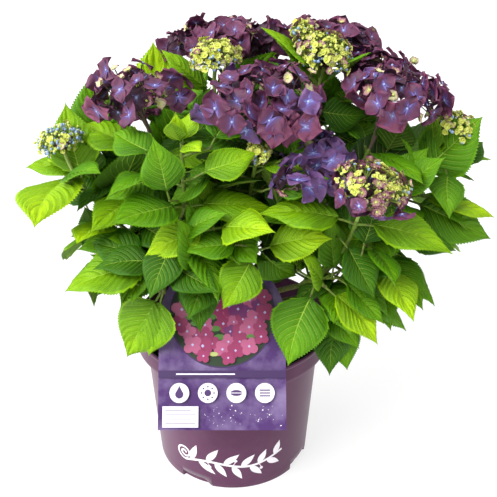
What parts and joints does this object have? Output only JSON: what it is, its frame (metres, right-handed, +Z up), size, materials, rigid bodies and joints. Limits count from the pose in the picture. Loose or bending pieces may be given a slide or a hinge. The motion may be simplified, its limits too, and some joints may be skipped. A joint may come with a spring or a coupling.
{
  "type": "potted hydrangea shrub",
  "caption": "Hydrangea shrub in bloom in a round nursery pot, with canes rising from one crown, leafy masses, domed flower heads and a care label on the rim.",
  "frame": {"origin": "centre of the pot's flat underside", "axes": "+Z up, -Y towards the front where the label hangs, +X to the right seen from the front"},
  "size_m": [0.5267, 0.3936, 0.5074],
  "materials": {
    "pot": "moulded dull violet plastic with a soft sheen, slightly dusty",
    "soil": "damp, dark, crumbly peat potting mix",
    "label": null,
    "stem": "green bark with brown lenticels, woody at the crown",
    "foliage": "soft serrated leaves, lime at the edges and deep green inside, with pale veins",
    "blossom": "matt plum and violet sepals with pale centres",
    "flower_bud": "clusters of small yellow-green and blue-grey buds"
  },
  "bodies": {
    "root": {"pot": "pot", "soil": "soil", "plant_label": "label", "crown": "stem", "cane_left": "stem", "cane_front_left": "stem", "cane_centre": "stem", "cane_front_right": "stem", "cane_right": "stem", "cane_low_right": "stem", "cane_low_left": "stem", "cane_back_left": "stem", "cane_top": "stem", "cane_back_right": "stem", "cane_back": "stem", "head_left": "blossom", "head_far_left": "flower_bud", "head_centre": "blossom", "head_small_bud": "flower_bud", "head_half_open": "blossom", "head_front_right": "blossom", "head_right": "blossom", "head_far_right": "flower_bud", "head_back_left": "blossom", "head_top": "blossom", "head_top_bud": "flower_bud", "head_back_right": "blossom", "head_right_bud": "flower_bud", "head_back": "blossom", "leaves_left": "foliage", "leaves_front_left": "foliage", "leaves_centre": "foliage", "leaves_front_right": "foliage", "leaves_right": "foliage", "leaves_low_right": "foliage", "leaves_low_left": "foliage", "leaves_back_left": "foliage", "leaves_top": "foliage", "leaves_back_right": "foliage", "leaves_back": "foliage"}
  },
  "joints": []
}
